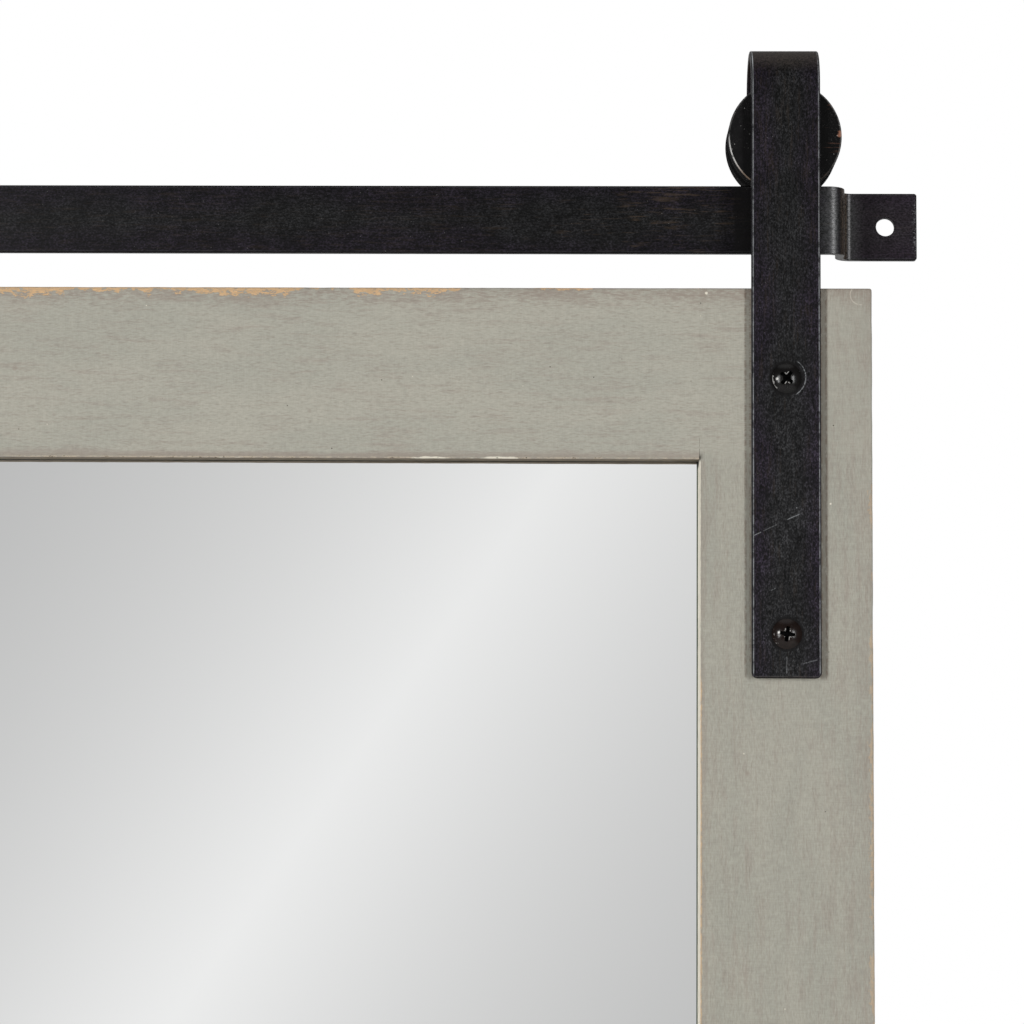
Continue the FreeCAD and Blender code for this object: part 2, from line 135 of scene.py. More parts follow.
def spread(place, stretch, shift):
    inputs = {0: place, 1: stretch, 2: (shift, shift, shift)}
    return place.node("ShaderNodeVectorMath", {"operation": "MULTIPLY_ADD"}, inputs)


def cloud(place, stretch, shift=0.0, detail=3.0, rough=0.5):
    # Noise with so many waves a metre along each axis.
    inputs = {"Vector": spread(place, stretch, shift), "Scale": 1.0, "Detail": detail, "Roughness": rough}
    return place.node("ShaderNodeTexNoise", {}, inputs)


def grain(place, axis, waves):
    # Noise drawn out along one axis. waves: how many along and across, then shift, detail and roughness.
    alongWaves, acrossWaves, *rest = waves
    stretch = [acrossWaves] * 3
    stretch[axis] = alongWaves
    return cloud(place, tuple(stretch), *rest)


def specks(place, size, perArea, shift=0.0):
    # Dots of a size in metres, about so many on a square metre of surface.
    gap = (2 * size / perArea) ** (1 / 3)
    inputs = {"Vector": spread(place, (1 / gap,) * 3, shift), "Scale": 1.0}
    return rise(place.node("ShaderNodeTexVoronoi", {}, inputs), size / gap, 0.5 * size / gap)


def bump(place, height, distance, strength):
    inputs = {"Height": height, "Distance": distance, "Strength": strength}
    return place.node("ShaderNodeBump", {}, inputs)


def axes(place):
    parts = place.node("ShaderNodeSeparateXYZ", {}, {0: place}).socket.node.outputs
    return [Wire(place.tree, part) for part in parts]


def newFinish(name):
    material = bpy.data.materials.new(name)
    material.use_nodes = True
    tree = material.node_tree
    shader = tree.nodes["Principled BSDF"]
    return material, shader, Wire(tree, tree.nodes.new("ShaderNodeTexCoord").outputs["Object"])


def feed(shader, values):
    for name, given in values.items():
        if isinstance(given, Wire):
            given.tree.links.new(given.socket, shader.inputs[name])
        else:
            shader.inputs[name].default_value = given


# Worn paint on wood

paint = {
    "coat": (0.420, 0.404, 0.342),
    "coatCool": (0.396, 0.386, 0.328),
    "blush": (0.345, 0.300, 0.254),  # where the brown undercoat shines through
    "stroke": (0.222, 0.200, 0.164),
    "rubbed": (0.268, 0.216, 0.180),
    "bare": (0.670, 0.435, 0.232),
    "cream": (0.800, 0.750, 0.630),
    "pale": (0.520, 0.440, 0.340),
    # the painted shadow beside the straps
    "shadowed": (0.230, 0.212, 0.176),
    # dirt, and painted shade in the lip's crease and corners
    "dirtAndShade": (0.045, 0.038, 0.028),
    # the painted shade of the top rail's lip
    "lipShade": (0.150, 0.118, 0.076),
    "rust": (0.150, 0.092, 0.062),
    "rawBack": (0.430, 0.270, 0.140),
    "rails": {"light": 0.985, "bareWidth": 2.9 * mm, "bare": 0.90, "crossed": 0.16, "streaks": 0.40},
    "stiles": {"light": 0.905, "bareWidth": 1.6 * mm, "bare": 0.35, "crossed": 0.24, "streaks": 0.30},
    # Along each board, as middle and half length: where its arrises are rubbed most, and where the inner one
    # is chipped down to the primer. Then the finish of the lip's narrow side, over the glass: on the top rail
    # a painted shade.
    "boards": {
        "top_rail": ((0.02, 0.10), (0.128, 0.008), "lipShade"),
        "bottom_rail": ((0.06, 0.08), (-0.10, 0.02), "rubbed"),
        "left_stile": ((-0.58, 0.08), None, "cream"),
        "right_stile": ((-0.26, 0.09), None, "cream"),
    },
    "tanWidth": 0.75 * mm,
    "creamWidth": 0.8 * mm,
    "backEdge": 1.2 * mm,
    "rubReach": (11 * mm, 1.5 * mm),  # how far in from an arris the paint is thin, from none to most
    "frontSkin": (1.5 * mm, 1.0 * mm),
    "strapSide": 13.9 * mm,
    "strapFoot": -170 * mm,
    "curl": (275.1, -29.7, 3.6),  # x, z and radius
    "chips": {  # x, z and size
        "right_stile": ((218.5, -29.2, 0.6), (264.0, -107.0, 0.4)),
        "left_stile": ((-231.0, -402.0, 0.5),),
    },
    "waves": {
        "strokes": (400, 2700, 3.1, 2.0),
        "weave": (430, 1700, 1.3, 3.0, 0.7),
        "crossed": (1900, 260, 6.3, 2.0),
        "wide": (16, 60, 7.7),
        "blotch": (50, 420, 2.4, 4.0, 0.66),
        "ragged": (420, 900, 5.2, 4.0, 0.7),
        "patches": (34, 34, 11.9, 4.0, 0.6),
        "creamy": (50, 50, 19.3, 4.0),
        "raw": (6, 220, 8.8, 4.0),
    },
}


def paintBoard(node):
    # Paint with short fine strokes along the board and a fainter weave across, rubbed at its arrises.
    material, shader, place = newFinish(node + "_paint")
    low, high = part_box(node)
    x, y, z = axes(place)
    lengthwise = node.endswith("_rail")
    across, down = (z, x) if lengthwise else (x, z)
    kind = paint["rails" if lengthwise else "stiles"]
    worn, cream, wall = paint["boards"][node]
    waves = paint["waves"]
    edges = (low.z, high.z) if lengthwise else (low.x, high.x)
    inner, outer = edges if node in ("top_rail", "right_stile") else edges[::-1]
    deep = y - low.y
    thick = high.y - low.y
    onFront = rise(deep, *paint["frontSkin"])

    outerGap = reach(abs(across - outer), deep)
    innerGap = reach(abs(across - inner), deep)
    if not lengthwise:
        # A stile's inner arris shows only between the rails. Past it the brush ran on from the rails.
        width = high.x - low.x
        lipEnd = least(high.z - width - z, z - low.z - width)
        opening = rise(lipEnd, 0.0, 1.5 * mm)
        toRight = x - (low.x + high.x) / 2
        outward = toRight * (1 if outer > inner else -1)
        jointed = rise(lipEnd, 2 * mm, -6 * mm) * (0.3 + 0.7 * rise(outward, 10 * mm, -6 * mm))
        endGap = reach(least(high.z - z, z - low.z), deep)
        outerGap = least(outerGap, endGap)

    def brushed(name):
        railWise = grain(place, 0, waves[name])
        if lengthwise:
            return railWise
        stileWise = grain(place, 2, waves[name])
        return stileWise + (railWise - stileWise) * jointed

    strokes, weave, crossed = brushed("strokes"), brushed("weave"), brushed("crossed")
    wide, blotch, ragged = brushed("wide"), brushed("blotch"), brushed("ragged")
    patches = grain(place, 0, waves["patches"])
    outerNear = rise(outerGap, *paint["rubReach"])
    innerNear = within(innerGap, 4, 1)
    handled = rise(abs(down - worn[0]), worn[1] + 0.05, worn[1] - 0.03)
    # Painted shade: the rails darken a little towards the left. The stiles' paint is darker than the rails'.
    if lengthwise:
        light = kind["light"] * (1 - 0.025 * rise(x, 0.07, -0.03))
        warmth, rubbed = 0.10 * outerNear, 0.55
    else:
        # Rubbed most at its ends. The half outside the strap is warmer.
        light = kind["light"] * (1 + 0.055 * jointed)
        endNear = rise(endGap, *paint["rubReach"])
        innerNear = innerNear * opening
        warmth = 0.12 * endNear + 0.06 * rise(outward, 10 * mm, 20 * mm)
        rubbed = 0.16 + 0.44 * endNear

    coat = mix(rise(wide, 0.4, 0.62), paint["coat"], paint["coatCool"])
    uneven = blotch + 0.2 * (strokes - 0.5) + 0.3 * (patches - 0.5)
    blush = rise(uneven + warmth + 0.20 * innerNear, 0.46, 0.76)
    colour = mix(0.56 * blush, coat, paint["blush"])
    woven = 0.69 - 0.5 * kind["crossed"] + 0.62 * weave + kind["crossed"] * crossed
    colour = tone(colour, woven * light)
    streaks = rise(strokes + 0.15 * (blotch - 0.5), 0.53, 0.80)
    colour = mix(kind["streaks"] * streaks, colour, paint["stroke"])
    thin = 0.45 * ragged + 0.35 * strokes + 0.35 * patches + 0.10 * outerNear
    colour = mix(rubbed * rise(thin, 0.56, 0.74) * outerNear, colour, paint["rubbed"])
    colour = mix(0.4 * specks(place, 1.3 * mm, 160, 9.1), colour, paint["rubbed"])

    bareReach = rise(patches + 0.15 * handled, 0.53, 0.67) * kind["bareWidth"] * (4.4 * ragged - 1.3)
    bareMask = rise(bareReach - outerGap, -0.1 * mm, 0.35 * mm) * rise(weave, 0.30, 0.50)
    colour = mix(kind["bare"] * bareMask, colour, tone(paint["bare"], 0.62 + 0.7 * strokes))
    if lengthwise:
        chipped = rise(abs(down - cream[0]), cream[1] + 0.02, cream[1])
        creamPatches = grain(place, 0, waves["creamy"]) + 0.26 * chipped
        creamReach = rise(creamPatches, 0.60, 0.72) * paint["creamWidth"]
        creamMask = rise(creamReach * (0.3 + 1.3 * ragged) - innerGap, -0.15 * mm, 0.2 * mm)
        dirtAndShadeMask = rise(ragged + 0.25 * (patches - 0.5), 0.56, 0.66) * within(innerGap, 0.9, 0.4)
        # The inner arris is rubbed brown, with a pale line along its corner.
        brownLine = (0.20 + 0.40 * patches) * within(innerGap, 3.2, 0.9)
        colour = mix(brownLine, colour, paint["rubbed"])
        paleLine = within(innerGap, 0.75, 0.45) * rise(ragged + 0.5 * (patches - 0.5), 0.42, 0.60)
        colour = mix(paleLine, colour, paint["pale"])
    else:
        tanReach = rise(patches + 0.3 * handled, 0.56, 0.74) * paint["tanWidth"] * (0.4 + 2.2 * ragged)
        tanMask = rise(tanReach - innerGap, -0.15 * mm, 0.35 * mm) * opening * rise(weave, 0.28, 0.52)
        colour = mix(0.6 * tanMask, colour, paint["bare"])
        creamReach = paint["creamWidth"] * (0.45 + 0.5 * ragged)
        creamMask = rise(creamReach - innerGap, -0.12 * mm, 0.12 * mm) * opening
        # Dirt lies in the seam at the lip's ends, and dirt with painted shade in the opening's inner corner.
        # Beside the strap a painted shadow darkens the band, most on its right, with a line of rust stain
        # beside it.
        seam = within(lipEnd + 4 * mm, 4.5, 3) * within(across - inner, 0.3, 0.1)
        lipCorner = within(lipEnd + 0.5 * mm, 1.2, 0.3) * within(innerGap, 0.9, 0.3)
        dirtAndShadeMask = most(0.7 * seam * rise(ragged, 0.40, 0.55), lipCorner)
        beside = abs(abs(toRight) - paint["strapSide"])
        byStrap = rise(z, paint["strapFoot"] - 2 * mm, paint["strapFoot"])
        shadowStrength = (0.04 + 0.70 * rise(toRight, -1 * mm, 1 * mm)) * byStrap
        paintedShadow = shadowStrength * within(beside, 1.9, 0.9) * rise(ragged, 0.2, 0.5)
        colour = mix(paintedShadow, colour, paint["shadowed"])
        stain = within(beside - 0.9 * mm, 0.6, 0.2) * byStrap
        colour = mix(0.45 * stain * rise(ragged, 0.40, 0.6), colour, paint["rust"])
    colour = mix(0.9 * creamMask, colour, paint["cream"])
    colour = mix(0.8 * dirtAndShadeMask, colour, paint["dirtAndShade"])
    lip = rise(deep, 0.5 * mm, 1.1 * mm) * within(across - inner, 0.5, 0.15)
    # Painted shade: on the top rail the lip takes a dark colour for the shade under the rail.
    lipColour = tone(paint[wall], 0.58 + 1.15 * ragged)
    # Along the glass the lip is painted darker, and a stile's lip at its ends: dirt, with painted shade in
    # the crease and corners.
    corner = rise(deep, 7.6 * mm, 8.6 * mm) if lengthwise else rise(lipEnd, 3.5 * mm, 0.8 * mm)
    lipColour = mix(corner, lipColour, paint["dirtAndShade"])
    colour = mix(lip, colour, lipColour)
    colour = mix(0.9 * specks(place, 0.32 * mm, 700), colour, paint["dirtAndShade"])
    colour = mix(0.85 * specks(place, 0.30 * mm, 300, 4.4), colour, paint["cream"])
    for px, pz, size in paint["chips"].get(node, ()):
        gap = reach(x - px * mm, z - pz * mm) + 0.8 * mm * (ragged - 0.5)
        spot = within(gap, size, 0.6 * size)
        colour = mix(0.9 * spot * onFront, colour, paint["cream"])
    if node == "right_stile":  # a curl that the brush left
        px, pz, size = paint["curl"]
        ring = reach(x - px * mm, z - pz * mm) - size * mm + 1.6 * mm * (patches - 0.5)
        curl = within(ring, 0.26, 0.08) * rise(x, (px + 1.2) * mm, px * mm) * onFront
        colour = mix(0.34 * curl * rise(ragged, 0.40, 0.56), colour, paint["cream"])
    # The back stays raw wood.
    raw = tone(paint["rawBack"], 0.55 + 0.9 * grain(place, 0 if lengthwise else 2, waves["raw"]))
    backMask = rise(deep + 0.6 * mm * ragged, thick - paint["backEdge"], thick - 0.3 * mm)
    colour = mix(backMask, colour, raw)

    height = 0.4 * strokes + 0.6 * weave + 0.2 * crossed + 0.25 * wide - 0.5 * bareMask
    feed(shader, {
        "Base Color": colour,
        "Roughness": 0.60 + 0.2 * (weave - 0.5) + 0.12 * bareMask,
        "Specular IOR Level": 0.25,
        "Normal": bump(place, height, 0.10 * mm, 0.7),
    })
    return material


# Blackened steel

steel = {
    "plain": (0.0166, 0.0166, 0.0176),
    "violet": (0.0146, 0.0112, 0.0178),
    "brown": (0.0620, 0.0420, 0.0270),
    "dust": (0.180, 0.178, 0.172),
    "worn": (0.420, 0.435, 0.450),
    "dark": (0.0035, 0.0030, 0.0032),
    "wax": (0.110, 0.078, 0.050),
    "tab": (0.0290, 0.0165, 0.0280),
    "brightLine": 0.64 * mm,  # the bright line runs this far in from the corner
    "waves": {
        "brushed": (170, 2300, 1.7, 2.0),
        "fine": (1100, 1800, 12.6, 2.0, 0.8),
        "mottled": (150, 150, 6.1, 5.0, 0.65),
        "wide": (24, 24, 2.9),
        "streaks": (80, 1100, 14.2, 3.0, 0.65),
        "chips": (330, 330, 21.5, 4.0, 0.7),
    },
}


def steelFinish(name, along, middle, half, depth, brown, arris, rubAndSheen, marks=(), smears=(), gloss=None):
    # Black oxide with fine lines along the bar. depth(x, z) says how light it is, brown(x, z) how streaked,
    # arris(x, y, z) how far the nearest edge is, and rubAndSheen(x, z) how bright the line along that edge
    # is:
    # rubbed metal and painted highlight. A mark is a mask of bright metal, a smear a colour and its mask,
    # and gloss a mask of burnished bends.
    material, shader, place = newFinish(name)
    x, y, z = axes(place)
    axis, across = (0, z) if along == "X" else (2, x)
    brushed, fine, mottled, wide, streaks, chipped = (
        grain(place, axis, waves) for waves in steel["waves"].values())
    outward = abs(across - middle * mm) / (half * mm) + 2.0 * (wide - 0.5) + 0.3 * (mottled - 0.5)
    colour = mix(rise(outward, 0.16, 0.90), steel["plain"], steel["violet"])
    speckle, patchy = rise(fine, 0.30, 0.72), rise(mottled, 0.34, 0.66)
    texture = 0.02 + 1.9 * speckle * speckle + 0.35 * rise(brushed, 0.4, 0.7)
    colour = tone(colour, depth(x, z) * texture * (0.72 + 0.60 * patchy))
    streak = rise(streaks + 0.35 * (wide - 0.5), 0.55, 0.70)
    colour = mix(brown(x, z) * streak, colour, steel["brown"])
    for smear, mask in smears:
        colour = mix(mask(x, y, z, fine, brushed), colour, smear)
    edge = arris(x, y, z)
    # Painted shade: the colour darkens on the rounded arrises.
    colour = tone(colour, 0.12 + 0.88 * rise(edge, 0.2 * mm, 0.6 * mm))
    dust = specks(place, 0.19 * mm, 26000) * rise(wide + 0.6 * (mottled - 0.5), 0.46, 0.62)
    colour = mix(0.6 * dust, colour, steel["dust"])
    chips = 0.10 + 0.62 * rise(chipped, 0.34, 0.62)
    # Bright metal along each arris: rubbed metal, and a painted highlight where the lamps catch the rounding.
    worn = within(edge - steel["brightLine"], 0.28, 0.09) * chips * rubAndSheen(x, z)
    for mark in marks:
        worn = most(worn, mark(x, y, z, fine, brushed))
    colour = mix(worn, colour, steel["worn"])
    feed(shader, {
        "Base Color": colour,
        "Metallic": worn,
        "Roughness": 0.44 + 0.25 * (mottled - 0.5) + 0.2 * (brushed - 0.5) - 0.08 * worn,
        "Specular IOR Level": 0.17,
        "Normal": bump(place, 0.6 * brushed + fine + 0.6 * mottled, 0.04 * mm, 0.7),
    })
    if gloss:
        feed(shader, {"Coat Weight": gloss(x, y, z, fine, brushed), "Coat Roughness": 0.36})
    return material


def turnedFinish(name, base, roughness, metallic, wave):
    # Turned or moulded pieces: fine mottling and dust.
    material, shader, place = newFinish(name)
    mottled = cloud(place, (wave, wave, wave), 4.3, 4.0, 0.6)
    colour = tone(base, 0.5 + mottled)
    pale = tuple(min(1.0, 3 * c + 0.06) for c in base)
    colour = mix(0.45 * specks(place, 0.18 * mm, 15000, 2.2), colour, pale)
    feed(shader, {
        "Base Color": colour,
        "Metallic": metallic,
        "Roughness": roughness + 0.24 * (mottled - 0.5),
        "Normal": bump(place, mottled, 0.03 * mm, 0.6),
    })
    return material


def fibreFinish(name, base, stretch, roughness):
    # Pressed or sawn fibre: streaks and flecks.
    material, shader, place = newFinish(name)
    fibres = cloud(place, stretch, 2.2, 5.0, 0.65)
    flecks = cloud(place, tuple(3.1 * s for s in stretch), 8.1, 3.0)
    colour = tone(base, 0.45 + 0.75 * fibres + 0.35 * flecks)
    feed(shader, {
        "Base Color": colour,
        "Roughness": roughness + 0.2 * (flecks - 0.5),
        "Normal": bump(place, fibres + flecks, 0.08 * mm, 0.7),
    })
    return material


def rollerFinish(name, low, high):
    # Dull black with dust on it. Its front rim is scuffed.
    material, shader, place = newFinish(name)
    x, y, z = axes(place)
    mottled = cloud(place, (420, 420, 420), 4.3, 4.0, 0.6)
    wide = cloud(place, (60, 60, 60), 8.2, 3.0)
    dx, dz = x - (low.x + high.x) / 2 * mm, z - (low.z + high.z) / 2 * mm
    rim = (high.x - low.x) / 2 * mm
    out = reach(dx, dz)
    front = rise(y - low.y * mm, 0.9 * mm, 0.6 * mm)
    grit = rise(cloud(place, (2400, 2400, 2400), 5.5, 1.0), 0.55, 0.75)
    shaded = 0.30 + 0.70 * rise(dx, 0.3 * rim, -0.3 * rim)  # darker to the right
    colour = tone(roller["black"], (0.4 + 1.2 * mottled) * shaded)
    colour = mix(0.30 * grit * rise(wide, 0.3, 0.6), colour, roller["grit"])
    scuff = rise(cloud(place, (70, 900, 900), 3.7, 3.0), 0.60, 0.68) * rise(dx, 0.62 * rim, 0.8 * rim) * front
    chip = within(reach(dx - 0.965 * rim, dz - 0.05 * rim), 1.5, 0.9) * front
    colour = mix(0.6 * scuff, colour, roller["scuff"])
    colour = mix(0.8 * chip * rise(mottled, 0.40, 0.56), colour, roller["chip"])
    dust = most(specks(place, 0.22 * mm, 60000), specks(place, 0.34 * mm, 9000, 3.3)) * rise(wide, 0.32, 0.52)
    colour = mix(0.85 * dust, colour, roller["dust"])
    # Painted highlight: a pale line along the front rim, strongest on the lower left where the left lamp
    # catches it.
    side = rise(-0.83 * dx - 0.55 * dz, 0.72 * rim, 0.95 * rim)
    line = within(out - rim + 0.35 * mm, 0.34, 0.12) * front
    rimHighlightColour = mix(rise(dz, -0.72 * rim, -0.35 * rim), roller["rimHighlightLow"], roller["line"])
    colour = mix(line * (0.10 + 0.75 * side) * rise(mottled, 0.30, 0.50), colour, rimHighlightColour)
    feed(shader, {
        "Base Color": colour,
        "Roughness": 0.42 + 0.24 * (mottled - 0.5) + 0.45 * (1 - front),
        "Specular IOR Level": 0.13,
        "Normal": bump(place, mottled, 0.03 * mm, 0.6),
    })
    return material


def screwFinish(name, crown, dome, across, height, turn, tint, glint):
    # Glossy black, rusting a little. The cross recess is painted near-black as painted shade, with painted
    # glints of pale metal at its lips, on the head's left rim and in one spot.
    material, shader, place = newFinish(name)
    x, y, z = axes(place)
    mottled = cloud(place, (600, 600, 600), 4.3, 4.0, 0.6)
    coarse = cloud(place, (900, 900, 900), 9.6, 2.0)
    dx, dz = x - across * mm, z - height * mm
    out = reach(dx, dz)
    under = y - crown * mm - out * out / (2 * dome * mm)
    # Painted shade: the recess below the dome is painted near-black.
    recess = rise(under, 0.10 * mm, 0.30 * mm) * within(out, 3.6, 3.4)
    c, s = math.cos(math.radians(turn)), math.sin(math.radians(turn))
    fromSlot = least(abs(c * dx - s * dz), abs(s * dx + c * dz)) - screw["slotWidth"] / 2 * mm
    # Painted glints: pale metal on the recess lips above and below the cross, on the head's left rim and in
    # one spot.
    facet = within(fromSlot - 0.16 * mm, 0.22, 0.08) * within(out, 2.5, 2.1)
    facet = facet * rise(abs(dz) - 0.8 * abs(dx), -0.2 * mm, 0.3 * mm) * rise(coarse, 0.40, 0.50)
    leftSide = rise(-0.93 * dx - 0.36 * dz, 3.6 * mm, 4.6 * mm)
    rim = within(out - 4.9 * mm, 0.40, 0.1) * rise(coarse, 0.50, 0.58) * leftSide
    spot = within(reach(dx - glint[0] * mm, dz - glint[1] * mm), 0.75, 0.25)
    bare = most(most(0.9 * facet, rim), 0.8 * spot)
    colour = tone(tint, 0.4 + 1.2 * mottled)
    colour = mix(0.5 * specks(place, 0.14 * mm, 60000, 2.2), colour, steel["dust"])
    colour = mix(recess, colour, screw["recess"])
    colour = mix(bare, colour, screw["bare"])
    feed(shader, {
        "Base Color": colour,
        "Metallic": 0.4 * bare,
        "Roughness": 0.6 - 0.3 * bare,
        "Specular IOR Level": 0.05,
        "Coat Weight": 0.55 * (1 - most(recess, bare)),
        "Coat Roughness": 0.21,
        "Normal": bump(place, mottled + 0.5 * coarse, 0.04 * mm, 0.5),
    })
    return material


glass = {
    "silver": (0.930, 0.935, 0.932),
    "edge": (0.120, 0.150, 0.130),
    "edgeWidth": 0.55 * mm,
}


def mirrorFinish():
    # Silvered glass. Its rim is painted dark green at the frame, a painted reflection of the lip's shaded
    # wall seen through green glass, and a faint haze lies on it.
    material, shader, place = newFinish("mirror_glass")
    x, y, z = axes(place)
    low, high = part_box("top_rail")
    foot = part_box("bottom_rail")[1].z
    rim = least(least(x - low.x, high.x - x), 2.5 * least(z - foot, low.z - z))
    smear = cloud(place, (9, 9, 26), 3.3, 4.0)
    colour = mix(rise(rim, glass["edgeWidth"], 0.7 * glass["edgeWidth"]), glass["silver"], glass["edge"])
    feed(shader, {
        "Base Color": colour,
        "Metallic": 1.0,
        "Roughness": 0.012 + 0.02 * rise(smear, 0.5, 0.8),
    })
    return material


def toPiece(name, bm, material=None):
    # Close the mesh, scale it to metres and make an object of it.
    bmesh.ops.remove_doubles(bm, verts=bm.verts, dist=0.4 * weld)
    bmesh.ops.recalc_face_normals(bm, faces=bm.faces)
    bmesh.ops.scale(bm, vec=(mm, mm, mm), verts=bm.verts)
    for face in bm.faces:
        face.smooth = True
    mesh = bpy.data.meshes.new(name)
    bm.to_mesh(mesh)
    bm.free()
    piece = bpy.data.objects.new(name, mesh)
    scene.collection.objects.link(piece)
    if material:
        mesh.materials.append(material)
    return piece


def carve(piece, cutters):
    # Cut the shapes away for good, then drop them.
    for cutter in cutters:
        cut = piece.modifiers.new("cut", "BOOLEAN")
        cut.operation = "DIFFERENCE"
        cut.solver = "EXACT"
        cut.object = cutter
    whole = piece.evaluated_get(bpy.context.evaluated_depsgraph_get())
    carved = bpy.data.meshes.new_from_object(whole)
    piece.modifiers.clear()
    piece.data = carved
    for cutter in cutters:
        bpy.data.objects.remove(cutter)


def settle(piece, node, body, sharpFrom=24):
    # Even shading on the flats, then hand the piece to the frame.
    piece.data.set_sharp_from_angle(angle=math.radians(sharpFrom))
    even = piece.modifiers.new("evenNormals", "WEIGHTED_NORMAL")
    even.keep_sharp = True
    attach(piece, body)
    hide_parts(node)


def turnRound(bm, centre, steps):  # an outline, turned full circle about an axis along Y
    bmesh.ops.spin(bm, geom=[*bm.verts, *bm.edges], cent=centre, axis=(0, 1, 0), angle=2 * math.pi,
                   steps=steps, use_merge=True)


def rodCutter(x, z, outline):
    # A round cutter along Y. Its outline gives radius and place, from front to back.
    bm = bmesh.new()
    points = [(0, outline[0][1]), *outline, (0, outline[-1][1])]
    verts = [bm.verts.new((x + r, y, z)) for r, y in points]
    for pair in zip(verts, verts[1:]):
        bm.edges.new(pair)
    turnRound(bm, (x, 0, z), 64)
    return toPiece("cutter", bm)


def newBlock(low, high):
    bm = bmesh.new()
    place = Matrix.Translation((low + high) / 2) @ Matrix.Diagonal((*(high - low), 1))
    bmesh.ops.create_cube(bm, size=1, matrix=place)
    return bm


def pick(geom, kind):
    return [item for item in geom if isinstance(item, kind)]


def lift(bm, geom, way):  # move what an extrude made
    bmesh.ops.translate(bm, vec=way, verts=pick(geom, bmesh.types.BMVert))


def runBar(bm, edge, way):  # draw a bar's end on, straight
    grown = bmesh.ops.extrude_edge_only(bm, edges=[edge])
    lift(bm, grown["geom"], way)
    return pick(grown["geom"], bmesh.types.BMEdge)[0]


def bendBar(bm, edge, centre, axis, degrees, steps):
    turned = bmesh.ops.spin(bm, geom=[edge, *edge.verts], cent=centre, axis=axis, angle=math.radians(degrees),
                            steps=steps)
    return pick(turned["geom_last"], bmesh.types.BMEdge)[0]


def thicken(bm, way):  # a flat outline drawn out to the bar's full width
    bmesh.ops.remove_doubles(bm, verts=bm.verts, dist=weld)
    grown = bmesh.ops.extrude_face_region(bm, geom=list(bm.faces))
    lift(bm, grown["geom"], way)
    bmesh.ops.recalc_face_normals(bm, faces=bm.faces)


def roundEdges(bm, edges, size, segments):
    bmesh.ops.bevel(bm, geom=list(edges), offset=size, offset_type="OFFSET", segments=segments, profile=0.5,
                    affect="EDGES", material=-1)


def split(bm, axis, places):  # new edges round the shape, at these places along the axis
    normal = [0, 0, 0]
    normal[axis] = 1
    for place in places:
        bmesh.ops.bisect_plane(bm, geom=[*bm.verts, *bm.edges, *bm.faces],
                               plane_co=[place * n for n in normal], plane_no=normal)


def span(edge, axis):  # how far an edge runs along the axis
    return abs(edge.verts[0].co[axis] - edge.verts[1].co[axis])


def onPlane(edges, axis, place):  # the edges that lie at this place
    return [edge for edge in edges
            if edge.is_valid and all(abs(v.co[axis] - place) < touch for v in edge.verts)]


def sharpEdges(bm, degrees):
    return [edge for edge in bm.edges if edge.is_manifold and edge.calc_face_angle() > math.radians(degrees)]


def corners(node):  # a CAD node's box in millimetres
    low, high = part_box(node)
    return low / mm, high / mm


# Wall rail

rail = {
    "thickness": 3.2,
    "bend": 3.4,
    "bendSteps": 14,
    "webOut": 271.0,
    "tabCorner": 1.0,
    "ease": 0.4,
    "hole": 3.5,
    "holeAcross": 287.1,
    "holeEase": 0.3,
    # where the rail is painted dark beside each strap, as painted shadow
    "shadowSpan": (228.6, 262.0),  # from and to, across
}


